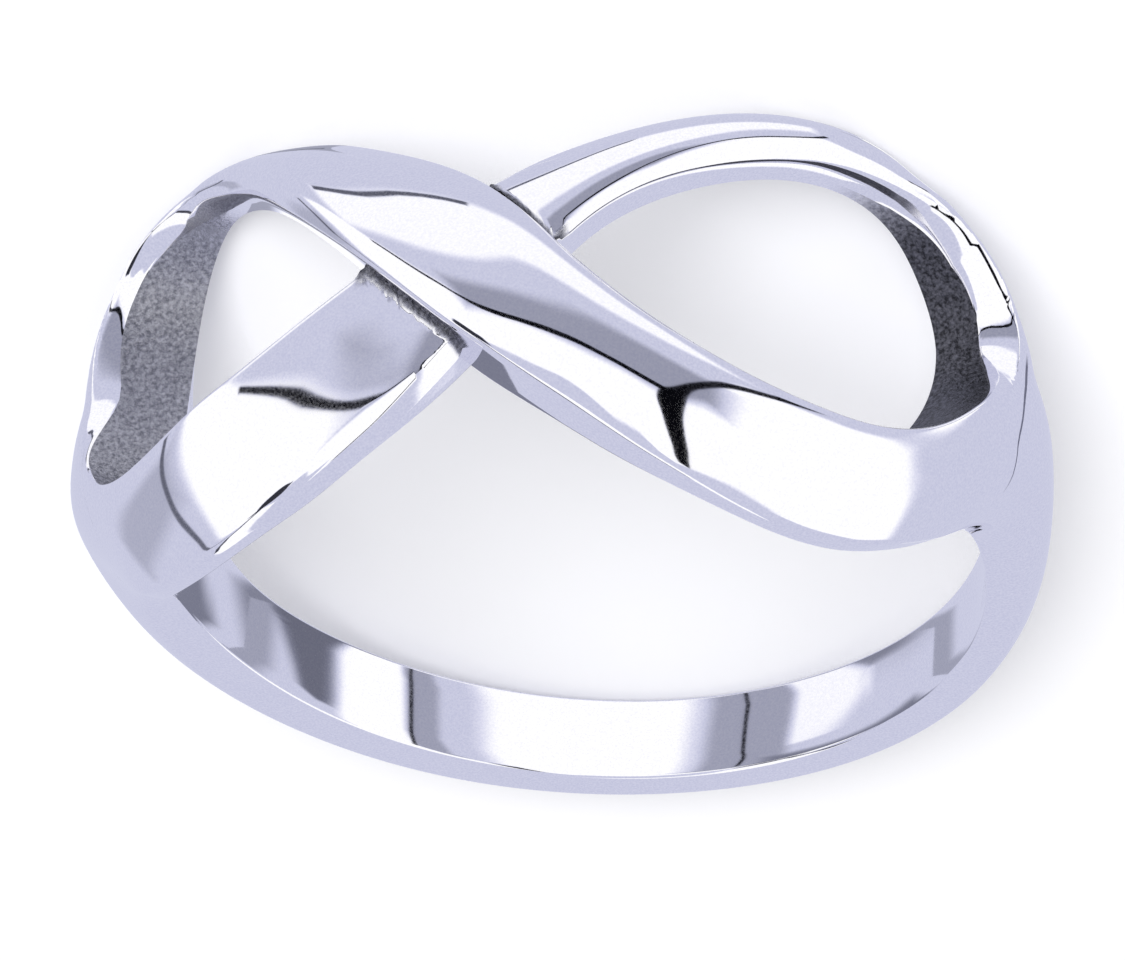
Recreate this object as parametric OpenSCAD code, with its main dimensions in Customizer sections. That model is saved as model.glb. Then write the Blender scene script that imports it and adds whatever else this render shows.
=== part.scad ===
// Infinity ring: one casting in polished silver.
//
// A plain shank runs round the back of the finger and widens into two shoulders. Between
// them two bands cross over the front as a lying figure of eight: the over band goes from
// the far side on the left to the near side on the right and stands proud where it
// crosses, and the under band takes the other way beneath it. The real ring is one piece,
// so the model is one solid.
//
// Ring coordinates: an angle about the finger axis, 0 in the middle of the motif and
// growing towards its right as it is looked at; a height along the finger axis, negative
// on the side that lies on the table; and a thickness outwards from the finger hole.

/* [Finger hole] */
// Inner diameter of the ring
bore_d = 17.3; // [16.8:0.1:18]

/* [Shank] */
// Width of the plain shank along the finger
shank_w = 2.04; // [1.8:0.02:2.4]
// Thickness of the shank at the back, in the middle of its width
shank_t = 1.1; // [0.9:0.05:1.3]

/* [Motif] */
// Scale of the motif's height along the finger
motif_scale = 1; // [0.95:0.01:1.05]
// Scale of every thickness in the motif
thick_scale = 1; // [0.9:0.05:1.15]

/* [Rest] */
// Backward lean of the finger axis when the ring lies on its two loops and its back
rest_lean = 16.85; // [0:0.01:20]
// Sideways lean of the finger axis in that pose
rest_side = 0.68; // [-3:0.01:3]
// Way up the finger axis from the table to the middle of the shank
rest_rise = 3.9; // [0:0.01:6]

/* [Facets] */
// Steps between two rows of a band's table
steps = 3; // [2:1:4]
// Strips across the domed top of a band
strips = 8; // [6:1:10]

/* [Hidden] */

bore_r = bore_d / 2;
under_cut = 0.5;      // how far each sweep reaches inside the hole before the hole is cut
dome_power = 2.4;     // 2 is a parabola; more makes the top flatter and its edges rounder
crest = shank_t;

// Columns of every table, a row for each section across a band:
//   [angle, far edge, near edge, far thickness, near thickness, bulge above the edges]
// Angles are degrees, everything else millimetres. Far is the side on the table.
over_rows = [
    [-70.0, -3.10, -1.60, 0.60, 1.60, 0.30],
    [-64.5, -4.25, -1.45, 0.85, 2.05, 0.28],
    [-63.8, -4.40, -2.80, 0.85, 1.90, 0.30],
    [-62.0, -4.65, -3.70, 0.90, 1.60, 0.35],
    [-58.0, -5.10, -4.45, 0.88, 1.20, 0.40],
    [-50.0, -5.50, -4.92, 0.72, 0.75, 0.48],
    [-42.0, -5.60, -4.60, 0.50, 0.55, 0.35],
    [-35.0, -5.30, -3.98, 0.45, 0.70, 0.35],
    [-28.0, -4.92, -3.08, 0.45, 1.00, 0.45],
    [-21.0, -4.55, -2.05, 0.45, 1.30, 0.50],
    [-14.0, -4.00, -0.95, 0.50, 1.45, 0.55],
    [ -7.0, -3.42,  0.20, 0.60, 1.50, 0.60],
    [  0.0, -2.65,  1.30, 0.85, 1.45, 0.60],
    [  6.0, -1.75,  2.02, 1.15, 1.25, 0.60],
    [ 12.0, -0.55,  2.62, 1.30, 1.00, 0.55],
    [ 20.0,  0.55,  3.34, 1.30, 0.80, 0.50],
    [ 28.0,  1.28,  3.82, 1.25, 0.60, 0.45],
    [ 36.0,  1.70,  4.15, 1.20, 0.45, 0.40],
    [ 44.0,  1.85,  4.28, 1.20, 0.42, 0.35],
    [ 52.0,  1.75,  4.08, 1.28, 0.48, 0.38],
    [ 60.0,  1.10,  3.52, 1.42, 0.50, 0.44],
    [ 65.0,  0.20,  3.05, 1.58, 0.52, 0.52],
    [ 69.0, -0.90,  2.62, 1.72, 0.54, 0.62],
    [ 70.5, -2.01,  2.42, 1.78, 0.55, 0.68],
    [ 76.0, -1.80,  1.60, 1.40, 0.40, 0.50],
];
under_rows = [
    [-70.0, -1.40,  2.10, 1.50, 0.40, 0.20],
    [-64.5, -1.57,  3.05, 2.04, 0.65, 0.58],
    [-63.8, -0.20,  3.14, 1.95, 0.63, 0.55],
    [-62.0,  0.70,  3.35, 1.80, 0.60, 0.50],
    [-58.0,  1.35,  3.75, 1.55, 0.55, 0.45],
    [-50.0,  1.75,  4.22, 1.30, 0.50, 0.38],
    [-42.0,  1.78,  4.44, 1.15, 0.50, 0.35],
    [-35.0,  1.55,  4.42, 1.10, 0.50, 0.35],
    [-28.0,  1.20,  4.22, 1.05, 0.42, 0.40],
    [-21.0,  0.62,  3.90, 1.00, 0.35, 0.40],
    [-14.0, -0.10,  3.25, 1.00, 0.32, 0.40],
    [ -7.0, -1.00,  2.50, 0.95, 0.42, 0.35],
    [  0.0, -2.20,  1.45, 0.80, 0.60, 0.35],
    [  6.0, -3.08,  0.20, 0.55, 0.75, 0.35],
    [ 12.0, -3.66, -1.35, 0.45, 0.75, 0.35],
    [ 20.0, -4.28, -2.50, 0.45, 0.80, 0.35],
    [ 28.0, -4.82, -3.28, 0.45, 0.72, 0.35],
    [ 36.0, -5.24, -3.86, 0.45, 0.65, 0.30],
    [ 44.0, -5.50, -4.24, 0.45, 0.65, 0.30],
    [ 52.0, -5.58, -4.36, 0.45, 0.70, 0.25],
    [ 60.0, -5.20, -4.05, 0.52, 0.98, 0.38],
    [ 65.0, -4.60, -3.45, 0.56, 1.30, 0.38],
    [ 69.0, -4.05, -2.70, 0.60, 1.60, 0.28],
    [ 70.5, -3.85, -1.88, 0.60, 1.77, 0.18],
    [ 76.0, -3.00, -1.80, 0.45, 1.40, 0.15],
];
half_w = shank_w / 2;
edge_t = crest - 0.25;
shank_rows = [
    [ 70.5, -3.85, 2.42, 0.60, 0.55, 1.35],
    [ 76.0, -3.10, 1.75, 0.70, 0.60, 1.25],
    [ 82.0, -2.40, 1.22, 0.75, 0.70, 1.05],
    [ 88.0, -1.85, 1.06, 0.80, 0.75, 0.80],
    [ 96.0, -1.35, half_w, 0.82, 0.80, 0.55],
    [106.0, -1.10, half_w, 0.82, 0.80, 0.40],
    [120.0, -half_w, half_w, 0.80, 0.80, 0.32],
    [150.0, -half_w, half_w, edge_t, edge_t, 0.25],
    [180.0, -half_w, half_w, edge_t, edge_t, 0.25],
    [210.0, -half_w, half_w, 0.98, 0.98, 0.38],
    [236.0, -half_w, half_w, 1.10, 1.10, 0.55],
    [252.0, -1.06, half_w, 1.18, 1.18, 0.72],
    [264.0, -1.35, 1.10, 1.12, 1.08, 0.92],
    [272.0, -1.85, 1.25, 1.00, 0.92, 1.18],
    [280.0, -2.60, 1.65, 0.88, 0.75, 1.44],
    [288.0, -3.45, 2.30, 0.85, 0.70, 1.52],
    [295.5, -4.25, 3.05, 0.85, 0.65, 1.35],
];

// One row between p1 and p2, on the smooth curve that also looks at the rows either side
function between(p0, p1, p2, p3, u) =
    0.5 * (2 * p1 + (p2 - p0) * u + (2 * p0 - 5 * p1 + 4 * p2 - p3) * u * u
        + (3 * p1 - p0 - 3 * p2 + p3) * u * u * u);
function at(rows, i) = rows[max(0, min(len(rows) - 1, i))];
function smooth_rows(rows, n) = [
    for (i = [0:len(rows) - 2], k = [0:n - 1])
        between(at(rows, i - 1), at(rows, i), at(rows, i + 1), at(rows, i + 2), k / n),
    rows[len(rows) - 1]
];

// A point of the ring, from its angle, its radius and its height along the finger
function on_ring(angle, r, a) = [-r * sin(angle), -r * cos(angle), a];

// One section: the far wall's foot, the domed top from far to near, the near wall's foot
function dome(s) = 1 - pow(abs(2 * s - 1), dome_power);
function section(row) = concat(
    [on_ring(row[0], bore_r - under_cut, row[1] * motif_scale)],
    [for (k = [0:strips]) let (s = k / strips)
        on_ring(row[0],
            bore_r + thick_scale * (row[3] + (row[4] - row[3]) * s + row[5] * dome(s)),
            (row[1] + (row[2] - row[1]) * s) * motif_scale)],
    [on_ring(row[0], bore_r - under_cut, row[2] * motif_scale)]
);

// A solid through the sections of one table
module band(rows) {
    sections = [for (row = smooth_rows(rows, steps)) section(row)];
    n = len(sections);
    m = len(sections[0]);
    sides = [for (i = [0:n - 2], j = [0:m - 1]) let (k = (j + 1) % m)
        each [[i * m + j, (i + 1) * m + j, (i + 1) * m + k],
              [i * m + j, (i + 1) * m + k, i * m + k]]];
    caps = [[for (j = [0:m - 1]) j], [for (j = [m - 1:-1:0]) (n - 1) * m + j]];
    polyhedron([for (s = sections) each s], concat(sides, caps), convexity = 8);
}

module over_band() band(over_rows);
module under_band() band(under_rows);
module shank() band(shank_rows);

// The casting: bands and shank in one, with a round hole for the finger
module ring() {
    color("silver")
        rotate([-rest_lean, rest_side, 0])
            translate([0, 0, rest_rise])
            difference() {
                union() {
                    shank();
                    over_band();
                    under_band();
                }
                cylinder(h = 30, r = bore_r, center = true, $fn = 96);
            }
}

ring();
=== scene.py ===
"""Infinity ring in polished silver: the looks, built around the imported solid.

Ring coordinates, in millimetres and degrees: an angle about the finger axis, 0 in the
middle of the figure of eight and growing towards its right; a height along the finger
axis, negative on the side that lies on the table; and a thickness outwards from the
finger hole. The ring is modelled in them, and then leant over into its rest on the table.
"""

import bmesh
import bpy
import numpy as np
from mathutils import Matrix


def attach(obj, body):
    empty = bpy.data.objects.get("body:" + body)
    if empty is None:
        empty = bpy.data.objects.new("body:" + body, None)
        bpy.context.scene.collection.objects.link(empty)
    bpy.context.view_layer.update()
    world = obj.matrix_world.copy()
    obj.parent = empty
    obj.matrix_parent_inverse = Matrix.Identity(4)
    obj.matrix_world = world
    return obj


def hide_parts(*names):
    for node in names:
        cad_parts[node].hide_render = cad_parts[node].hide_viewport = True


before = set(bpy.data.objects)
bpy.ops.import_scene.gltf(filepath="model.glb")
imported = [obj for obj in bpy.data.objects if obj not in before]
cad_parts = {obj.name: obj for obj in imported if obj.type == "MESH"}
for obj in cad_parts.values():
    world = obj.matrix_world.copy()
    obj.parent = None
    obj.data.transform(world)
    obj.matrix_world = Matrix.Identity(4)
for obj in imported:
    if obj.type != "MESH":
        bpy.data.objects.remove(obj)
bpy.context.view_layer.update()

# ---- sizes --------------------------------------------------------------------------------

BORE = 8.65  # radius of the finger hole
REST_LEAN, REST_SIDE, REST_RISE = -16.85, 0.68, 3.9  # how the ring lies on the table
LEFT_SPLIT, RIGHT_SPLIT = -64.5, 70.5  # angles at which the shoulders part into two bands
DOME_POWER = 2.4  # 2 is a parabola; more makes the top flatter and its edges rounder
TOP_ROUND = 0.075  # radius that polishing leaves on the outer edges
HOLE_ROUND = 0.08  # radius on the edges of the finger hole
EDGE_RADIUS = BORE + 1.5  # at which angles are turned into millimetres along an edge
SWELL_RADIUS = BORE + 1.3  # and round the mounds on the shoulders
GIVE, END_GIVE = 6, 0.004  # how far curves may leave their points: along the ring, at a loop's end

# Columns: angle, far edge, near edge, far thickness, near thickness, bulge above the edges.
OVER_ROWS = np.array([
    [-64.5, -4.25, -1.50, 0.85, 2.05, 0.28],
    [-63.8, -4.40, -2.80, 0.85, 1.90, 0.30],
    [-62.0, -4.65, -3.70, 0.90, 1.60, 0.35],
    [-58.0, -5.10, -4.45, 0.88, 1.20, 0.40],
    [-50.0, -5.50, -4.92, 0.72, 0.75, 0.48],
    [-42.0, -5.60, -4.60, 0.50, 0.55, 0.35],
    [-35.0, -5.30, -3.98, 0.45, 0.70, 0.35],
    [-28.0, -4.92, -3.08, 0.45, 1.00, 0.45],
    [-21.0, -4.55, -2.05, 0.45, 1.30, 0.50],
    [-14.0, -4.00, -0.95, 0.50, 1.45, 0.55],
    [-7.0, -3.42, 0.20, 0.60, 1.50, 0.60],
    [0.0, -2.65, 1.30, 0.85, 1.45, 0.60],
    [6.0, -1.75, 2.02, 1.15, 1.25, 0.60],
    [12.0, -0.55, 2.62, 1.30, 1.00, 0.55],
    [20.0, 0.55, 3.34, 1.30, 0.80, 0.50],
    [28.0, 1.28, 3.82, 1.25, 0.60, 0.45],
    [36.0, 1.70, 4.15, 1.20, 0.45, 0.40],
    [44.0, 1.85, 4.28, 1.20, 0.42, 0.35],
    [52.0, 1.75, 4.08, 1.28, 0.48, 0.38],
    [60.0, 1.10, 3.52, 1.42, 0.50, 0.44],
    [65.0, 0.20, 3.05, 1.58, 0.52, 0.52],
    [69.0, -0.90, 2.62, 1.72, 0.54, 0.62],
    [70.5, -1.95, 2.42, 1.78, 0.55, 0.68],
])
UNDER_ROWS = np.array([
    [-64.5, -1.50, 3.05, 2.05, 0.65, 0.58],
    [-63.8, -0.20, 3.14, 1.95, 0.63, 0.55],
    [-62.0, 0.70, 3.35, 1.80, 0.60, 0.50],
    [-58.0, 1.35, 3.75, 1.60, 0.55, 0.42],
    [-50.0, 1.70, 4.22, 1.48, 0.43, 0.26],
    [-42.0, 1.70, 4.44, 1.42, 0.39, 0.16],
    [-35.0, 1.42, 4.42, 1.40, 0.36, 0.12],
    [-28.0, 1.07, 4.22, 1.34, 0.30, 0.11],
    [-21.0, 0.49, 3.90, 1.28, 0.23, 0.11],
    [-14.0, -0.23, 3.25, 1.22, 0.22, 0.13],
    [-7.0, -1.10, 2.50, 1.08, 0.36, 0.16],
    [0.0, -2.20, 1.45, 0.80, 0.60, 0.35],
    [6.0, -3.08, 0.20, 0.55, 0.75, 0.35],
    [12.0, -3.66, -1.35, 0.45, 0.75, 0.35],
    [20.0, -4.28, -2.50, 0.45, 0.80, 0.35],
    [28.0, -4.82, -3.28, 0.45, 0.72, 0.35],
    [36.0, -5.24, -3.86, 0.45, 0.65, 0.30],
    [44.0, -5.50, -4.24, 0.45, 0.65, 0.30],
    [52.0, -5.58, -4.36, 0.45, 0.70, 0.25],
    [60.0, -5.20, -4.05, 0.52, 0.98, 0.38],
    [65.0, -4.60, -3.45, 0.56, 1.30, 0.38],
    [69.0, -4.05, -2.70, 0.60, 1.60, 0.28],
    [70.5, -3.85, -1.95, 0.60, 1.78, 0.18],
])
SHANK_ROWS = np.array([
    [76.0, -3.10, 1.75, 0.70, 0.60, 1.25],
    [82.0, -2.40, 1.22, 0.75, 0.70, 1.05],
    [88.0, -1.85, 1.06, 0.80, 0.75, 0.80],
    [96.0, -1.35, 1.02, 0.82, 0.80, 0.55],
    [106.0, -1.10, 1.02, 0.82, 0.80, 0.40],
    [120.0, -1.02, 1.02, 0.80, 0.80, 0.32],
    [150.0, -1.02, 1.02, 0.85, 0.85, 0.25],
    [180.0, -1.02, 1.02, 0.85, 0.85, 0.25],
    [210.0, -1.02, 1.02, 0.98, 0.98, 0.38],
    [236.0, -1.02, 1.02, 1.10, 1.10, 0.55],
    [252.0, -1.06, 1.02, 1.18, 1.18, 0.72],
    [264.0, -1.35, 1.10, 1.12, 1.08, 0.92],
    [272.0, -1.85, 1.25, 1.00, 0.92, 1.18],
    [280.0, -2.60, 1.65, 0.88, 0.75, 1.44],
    [288.0, -3.45, 2.30, 0.85, 0.70, 1.52],
])
ANGLE, FAR, NEAR, FAR_THICK, NEAR_THICK, BULGE = range(6)
FULL_TURN = np.array([360.0, 0, 0, 0, 0, 0])  # added to rows, it moves them on by one turn
# Columns: angle, bulge above the edges. The dome of each shoulder, past the ends of SHANK_ROWS.
RIGHT_BULGE = np.array([[30, 1.2], [50, 1.28], [62, 1.34], [70.5, 1.35]])
LEFT_BULGE = np.array([[295.5, 1.35], [304, 1.2], [316, 1.0], [336, 0.9]])
PART_WAY = 24  # degrees over which a band's own dome grows out of its shoulder's
# The over band's edges pass from one curve to the next at the crossing: start on each edge, run.
FAR_CHANGE, NEAR_CHANGE, CHANGE_WAY = -6, -12, 8
UNDER_PAST = 4  # degrees past the middle to which each half of the under band is drawn

# Columns: angle, height, rise, reach. The mounds where the far rims run into the shoulders.
SWELLS = ((-62.0, -3.9, 0.74, 2.8), (68.0, -3.5, 0.62, 2.6))
# Columns: angle, depth of the narrow flat filed on an edge, depth of the wide easing behind it.
FILED_LEFT_LOOP = np.array([[-72.0, 0.42, 0.25], [-66.0, 0.42, 0.25], [-58.0, 0.36, 0.20],
                            [-45.0, 0.18, 0.05], [-25.0, 0.0, 0.0]])
FILED_RIGHT_LOOP = np.array([[15.0, 0.0, 0.0], [40.0, 0.15, 0.05], [56.0, 0.32, 0.16],
                             [65.0, 0.60, 0.36], [74.0, 0.60, 0.36]])
FLAT_WIDTH, EASING_WIDTH = 0.55, 2.2  # of the flat and of the easing, as shares of their depths
# The flat filed along the under band's near edge: its depth, its width as a share of the
# depth, the angle at which it begins, and the degrees over which it deepens.
UNDER_DEPTH, UNDER_WIDTH, UNDER_FROM, UNDER_ALONG = 0.30, 0.75, -48.0, 40.0
FILED_POWER = 1.3  # 1 is a straight cut; more lets it run out softly
# Round a loop the file works on the far side, up to a height, and fades over a run before it.
LEFT_UP_TO, LEFT_FADE, RIGHT_UP_TO, RIGHT_FADE = 0.5, 2.4, 0.4, 2.6

# The solder at the crossing: the size of its lumps, its reach from the foot and its rise there
# (each with what a lump adds), the degrees over which it begins, and how dull it is, with the
# painted shade that darkens it at the foot.
LUMP, REACH, REACH_LUMP, RISE, RISE_LUMP = 0.11, 0.26, 0.06, 0.13, 0.09
SOLDER_RADIUS, SOLDER_RUN, SOLDER_DULL_AND_SHADE = 10, 1.5, 1.7

# ---- curves along the ring ----------------------------------------------------------------


def smoothstep(x):
    """0 below 0, 1 above 1, and three x squared less two x cubed between."""
    x = np.clip(x, 0, 1)
    return x * x * (3 - 2 * x)


def batten(knots, values, give):
    """A drawing batten past the knots: the curve that weighs its squared distance from the
    values against give times its squared bend. Returns a function of a position."""
    h = np.diff(knots)
    n = len(knots)
    q = np.zeros((n, n - 2))
    r = np.zeros((n - 2, n - 2))
    i = np.arange(n - 2)
    q[i, i], q[i + 2, i] = 1 / h[:-1], 1 / h[1:]
    q[i + 1, i] = -1 / h[:-1] - 1 / h[1:]
    r[i, i] = (h[:-1] + h[1:]) / 3
    r[i[1:], i[:-1]] = r[i[:-1], i[1:]] = h[1:-1] / 6
    bend = np.linalg.solve(r + give * q.T @ q, q.T @ values)
    height = values - give * q @ bend
    bend = np.concatenate([[0], bend, [0]])

    def at(x):
        """Between two knots: a straight line, and the arch that their bends give it."""
        k = np.clip(np.searchsorted(knots, x) - 1, 0, n - 2)
        u = (x - knots[k]) / h[k]
        v = 1 - u
        arch = (u**3 - u) * bend[k + 1] + (v**3 - v) * bend[k]
        return height[k] * v + height[k + 1] * u + h[k] ** 2 / 6 * arch

    return at


def rows_between(rows, low, high):
    """The rows from one angle to another."""
    return rows[(rows[:, ANGLE] >= low) & (rows[:, ANGLE] <= high)]


def along_rows(column, *rows):
    """One column of some rows as a curve along the ring."""
    rows = np.concatenate(rows)
    return batten(rows[:, ANGLE], rows[:, column], GIVE)


# The outline's edges and the thicknesses along them, each one curve the whole way round: from
# the crossing on the right, by the shank, to the crossing on the left.
far_rows = (rows_between(UNDER_ROWS, -7, RIGHT_SPLIT), SHANK_ROWS,
            rows_between(OVER_ROWS, LEFT_SPLIT, 12) + FULL_TURN)
near_rows = (rows_between(OVER_ROWS, -21, RIGHT_SPLIT), SHANK_ROWS,
             rows_between(UNDER_ROWS, LEFT_SPLIT, 6) + FULL_TURN)
far_outline, far_outline_thick = (along_rows(c, *far_rows) for c in (FAR, FAR_THICK))
near_outline, near_outline_thick = (along_rows(c, *near_rows) for c in (NEAR, NEAR_THICK))
over_far_thick, over_near_thick, over_bulge = (
    along_rows(c, OVER_ROWS) for c in (FAR_THICK, NEAR_THICK, BULGE))
under_far_thick, under_near_thick, under_bulge = (
    along_rows(c, UNDER_ROWS) for c in (FAR_THICK, NEAR_THICK, BULGE))
shoulder_bulge = along_rows(1, RIGHT_BULGE, SHANK_ROWS[:, [ANGLE, BULGE]], LEFT_BULGE)


def inner_edge(rows, column, split):
    """The edge of a loop opening. Close to the shoulder it turns across the ring like the
    end of a rounded slot, so it is drawn over the square root of the way from there."""
    way = np.sqrt(np.abs(rows[:, ANGLE] - split))
    order = np.argsort(way)
    curve = batten(way[order], rows[order, column], END_GIVE)
    return lambda angle: curve(np.sqrt(np.maximum(np.abs(angle - split), 0)))


over_inner_left = inner_edge(rows_between(OVER_ROWS, LEFT_SPLIT, 12), NEAR, LEFT_SPLIT)
under_inner_left = inner_edge(rows_between(UNDER_ROWS, LEFT_SPLIT, 6), FAR, LEFT_SPLIT)
over_inner_right = inner_edge(rows_between(OVER_ROWS, -14, RIGHT_SPLIT), FAR, RIGHT_SPLIT)
under_inner_right = inner_edge(rows_between(UNDER_ROWS, -7, RIGHT_SPLIT), NEAR, RIGHT_SPLIT)


def over_far(angle):
    """Far edge of the over band: the outline on the left, the right opening on the right."""
    share = smoothstep((angle - FAR_CHANGE) / CHANGE_WAY)
    return far_outline(angle + 360) * (1 - share) + over_inner_right(angle) * share


def over_near(angle):
    """Near edge of the over band: the left opening on the left, the outline on the right."""
    share = smoothstep((angle - NEAR_CHANGE) / CHANGE_WAY)
    return over_inner_left(angle) * (1 - share) + near_outline(angle) * share


def under_near_left(angle):
    """Near edge of the under band, left of the crossing."""
    return near_outline(angle + 360)


def meeting(first, second, low, high):
    """The angle between low and high at which two edges meet, by halving."""
    for _ in range(50):
        middle = (low + high) / 2
        same = np.sign(first(middle) - second(middle)) == np.sign(first(low) - second(low))
        low, high = (middle, high) if same else (low, middle)
    return (low + high) / 2


# the openings' tips at the crossing, and the notches where the two bands' outlines meet
LEFT_TIP = float(meeting(over_near, under_inner_left, -30.0, 0.0))
RIGHT_TIP = float(meeting(over_far, under_inner_right, 1.0, 30.0))
NEAR_NOTCH = float(meeting(over_near, under_near_left, -14.0, 5.0))
FAR_NOTCH = float(meeting(over_far, far_outline, -7.0, 9.0))

# ---- the height of the metal --------------------------------------------------------------


def dome(s):
    """1 in the middle of a band and 0 at both its edges: one less the dome power of the
    distance from the middle, taken as a share of half the band."""
    return 1 - np.abs(2 * np.clip(s, 0, 1) - 1) ** DOME_POWER


def shoulder_top(angle, a):
    """Top of the whole ring where it isn't parted: one dome from outline to outline, on a
    straight line between the thicknesses of the two edges."""
    turn = np.where(angle < 0, angle + 360, angle)
    far, near = far_outline(turn), near_outline(turn)
    s = (a - far) / (near - far)
    rise = far_outline_thick(turn) * (1 - s) + near_outline_thick(turn) * s
    return rise + shoulder_bulge(turn) * dome(s)


def swell(angle, a):
    """The mounds: rise times the square of one less squared distance over squared reach."""
    turn = np.where(angle > 180, angle - 360, angle)
    total = 0
    for at, place, rise, reach in SWELLS:
        away = (np.radians(turn - at) * SWELL_RADIUS) ** 2 + (a - place) ** 2
        total = total + rise * np.clip(1 - away / reach**2, 0, 1) ** 2
    return total


def filed(distance, depth, width):
    """What the file takes off at a distance from an edge: depth times the filed power of one
    less distance over reach, where the reach is width times depth."""
    x = np.clip(1 - distance / np.maximum(width * depth, 1e-6), 0, 1)
    return depth * x**FILED_POWER


def filed_loop(distance, turn, table):
    """The flat and the easing together, round a loop opening."""
    flat, easing = (np.interp(turn, table[:, 0], table[:, column]) for column in (1, 2))
    return filed(distance, flat, FLAT_WIDTH) + filed(distance, easing, EASING_WIDTH)


def parted(angle):
    """How far a band has left the shoulder: 0 at the split, 1 once it has its own dome."""
    left = smoothstep((angle - LEFT_SPLIT) / PART_WAY)
    return left * smoothstep((RIGHT_SPLIT - angle) / PART_WAY)


def over_top(angle, a):
    """Top of the over band: its own dome, which grows out of the shoulders' one."""
    far, near = over_far(angle), over_near(angle)
    s = (a - far) / (near - far)
    own = (over_far_thick(angle) * (1 - s) + over_near_thick(angle) * s
           + over_bulge(angle) * dome(s))
    share = parted(angle)
    return own * share + shoulder_top(angle, a) * (1 - share)


def under_top(angle, a):
    """Top of the under band, in the same way; it runs on beneath the over band. Its near edge
    is raised by as much as the file then takes off there."""
    on_left, on_right = np.minimum(angle, UNDER_PAST), np.maximum(angle, -UNDER_PAST)
    far = np.where(angle < 0, under_inner_left(on_left), far_outline(on_right))
    near = np.where(angle < 0, near_outline(on_left + 360), under_inner_right(on_right))
    s = (a - far) / (near - far)
    depth = UNDER_DEPTH * smoothstep((angle - UNDER_FROM) / UNDER_ALONG) * (angle < 0)
    own = (under_far_thick(angle) * (1 - s) + (under_near_thick(angle) + depth) * s
           + under_bulge(angle) * dome(s) - filed(near - a, depth, UNDER_WIDTH))
    share = parted(angle)
    return own * share + shoulder_top(angle, a) * (1 - share)


# ---- the mesh -----------------------------------------------------------------------------


def angles_along(stops):
    """Angles from the first stop to the last, each stretch with its own step."""
    out = [np.array([stops[0][0]])]
    for (start, step), (end, _) in zip(stops, stops[1:]):
        count = max(1, int(round((end - start) / step)))
        out.append(np.linspace(start, end, count + 1)[1:])
    return np.concatenate(out)


MOTIF = angles_along([
    (LEFT_SPLIT, 0.045), (-64.1, 0.08), (-63.0, 0.16), (-60.5, 0.3), (-52.0, 0.45),
    (LEFT_TIP - 3, 0.25), (LEFT_TIP, 0.25), (NEAR_NOTCH, 0.25), (FAR_NOTCH, 0.25),
    (RIGHT_TIP, 0.25), (RIGHT_TIP + 3, 0.45), (60.0, 0.3), (66.5, 0.16), (69.0, 0.08),
    (70.1, 0.045), (RIGHT_SPLIT, 1),
])
SHANK = angles_along([
    (RIGHT_SPLIT, 0.05), (71.1, 0.2), (73.0, 0.5), (100.0, 0.9), (250.0, 0.5), (293.0, 0.2),
    (294.9, 0.05), (360 + LEFT_SPLIT, 1),
])
COLUMNS = 15  # across each band, between the columns that round its edges
EDGE_COLUMNS = np.array([0, 0.012, 0.03, 0.055, 0.09, 0.15])  # millimetres in from each edge
NARROW = 0.6  # bands narrower than this draw those columns closer
TIP_RUN, SPLIT_RUN = 1.5, 3  # degrees over which the rounding comes in at a tip and at a split


def across(low, high):
    """Columns from low to high: close together at both edges, where the rounding is."""
    width = np.maximum(high - low, 0)[:, None]
    near_edge = EDGE_COLUMNS * np.minimum(1, width / NARROW)
    even = np.linspace(0, 1, COLUMNS + 2)[1:-1]
    middle = near_edge[:, -1:] + (width - 2 * near_edge[:, -1:]) * even
    return low[:, None] + np.concatenate([near_edge, middle, width - near_edge[:, ::-1]], 1)


def rounding(distance, radius):
    """How much a rounded edge drops at a distance from it: a quarter circle."""
    x = np.clip(1 - distance / np.maximum(radius, 1e-6), 0, 1)
    return radius * (1 - np.sqrt(1 - x * x))


def way_to(outline, angle, a, far=9.0, block=40):
    """Distance in millimetres from points on the ring to a line of (angle, a) points, or far
    where they lie 8 degrees past its ends. It goes by blocks, so that the arrays stay small."""
    mm = np.radians(1) * EDGE_RADIUS
    start, end = outline[:-1] * [mm, 1], outline[1:] * [mm, 1]
    step = end - start
    length = np.maximum((step**2).sum(1), 1e-12)
    out = np.full(angle.shape, far)
    low, high = outline[:, 0].min() - 8, outline[:, 0].max() + 8
    close = (angle > low) & (angle < high)
    if not close.any():
        return out
    p = np.stack([angle[close] * mm, a[close]], -1)
    best = np.full(len(p), far**2)
    for i in range(0, len(step), block):
        steps = step[None, i:i + block]
        offset = p[:, None] - start[None, i:i + block]
        u = np.clip((offset * steps).sum(2) / length[i:i + block], 0, 1)
        best = np.minimum(best, ((offset - u[..., None] * steps) ** 2).sum(2).min(1))
    out[close] = np.sqrt(best)
    return out


def noise(u, v, seed):
    """Lumps of about one unit: nine sines in directions and phases drawn from a seed, each
    1.35 times finer and 1.25 times weaker than the one before."""
    rng = np.random.default_rng(seed)
    total = np.zeros(np.broadcast(u, v).shape)
    for k in range(9):
        turn, phase = rng.uniform(0, 2 * np.pi, 2)
        rate = 2.2 * 1.35**k
        total = total + np.sin(rate * (u * np.cos(turn) + v * np.sin(turn)) + phase) / 1.25**k
    return total / 3


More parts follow.
